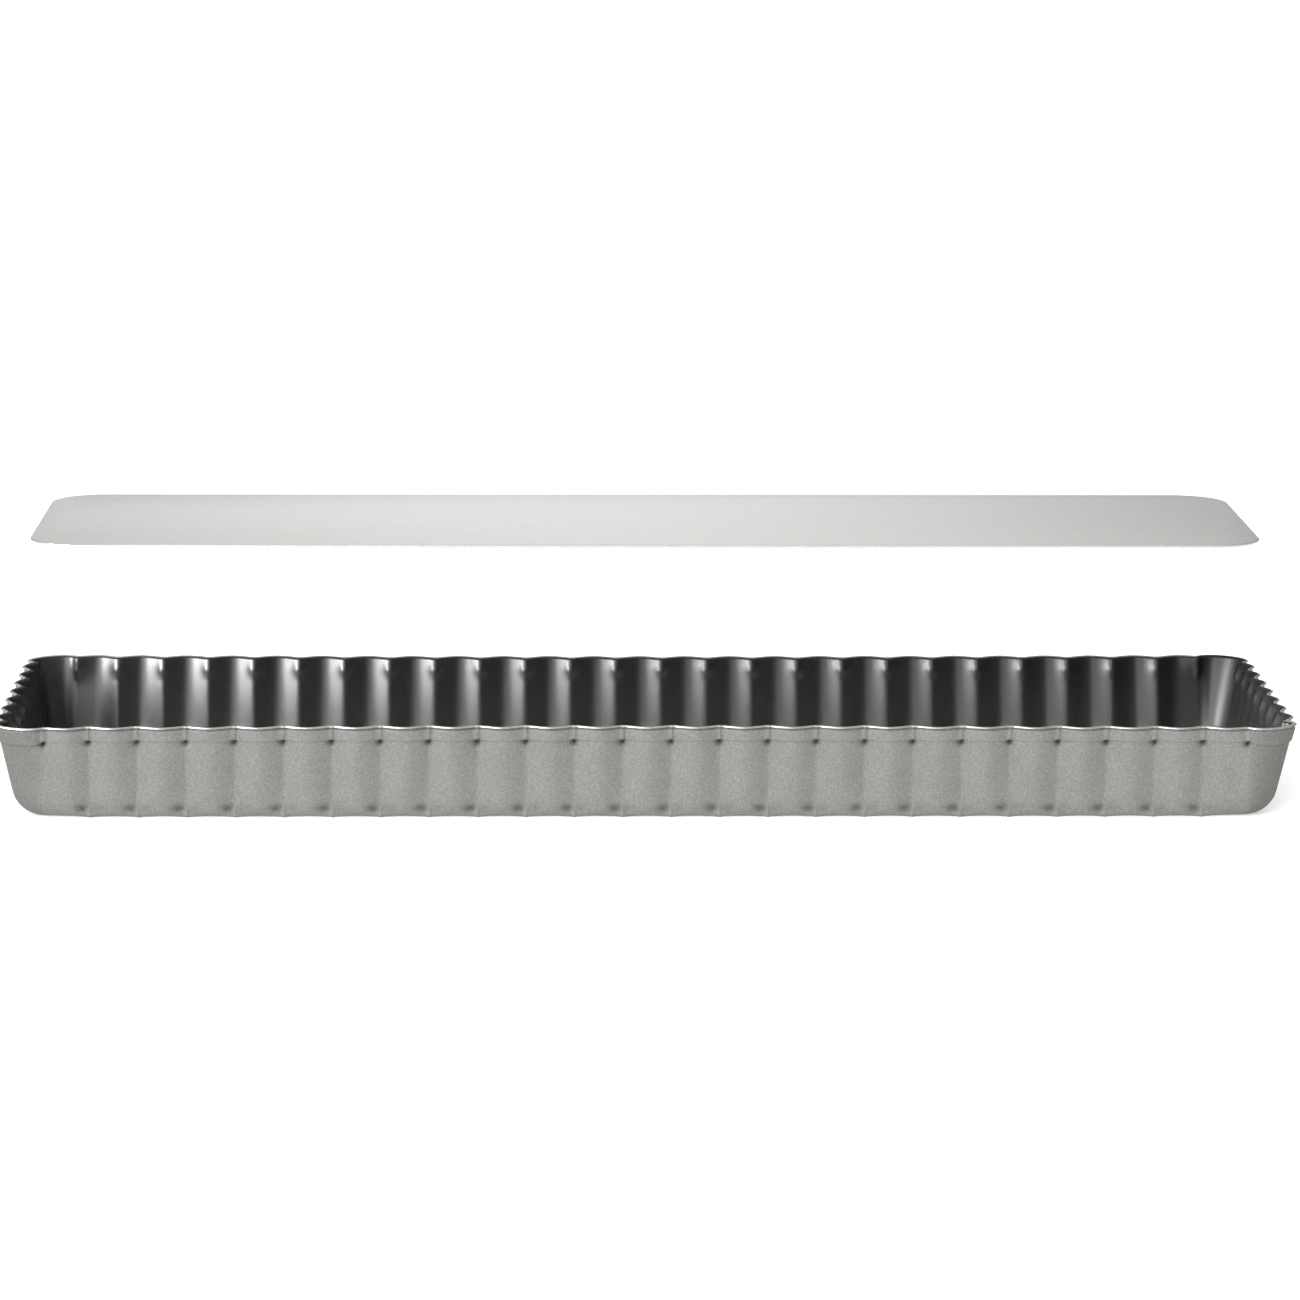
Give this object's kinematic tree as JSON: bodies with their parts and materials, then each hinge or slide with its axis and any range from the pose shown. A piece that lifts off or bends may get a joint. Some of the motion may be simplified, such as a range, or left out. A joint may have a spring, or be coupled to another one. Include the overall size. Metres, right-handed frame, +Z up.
{
  "type": "rectangular loose-base tart pan",
  "caption": "Long rectangular fluted tart pan of coated steel sheet, with a flat loose base that lifts straight up out of the frame.",
  "frame": {"origin": "centre of the pan's underside, in the plane it stands on", "axes": "+X along the pan, +Y across it towards the side away from the viewer, +Z up"},
  "size_m": [0.3572, 0.114, 0.0751],
  "materials": {
    "frame_coating": "matte grey speckled coating outside, dark satin non-stick coating inside",
    "base_coating": "light grey satin coating"
  },
  "bodies": {
    "frame": {"fluted_frame": "frame_coating"},
    "base": {"loose_base": "base_coating"}
  },
  "joints": [
    {"name": "base_lift", "type": "slide", "parent": "frame", "child": "base", "axis": [0, 0, 1], "range_m": [-0.0734, 0]}
  ]
}
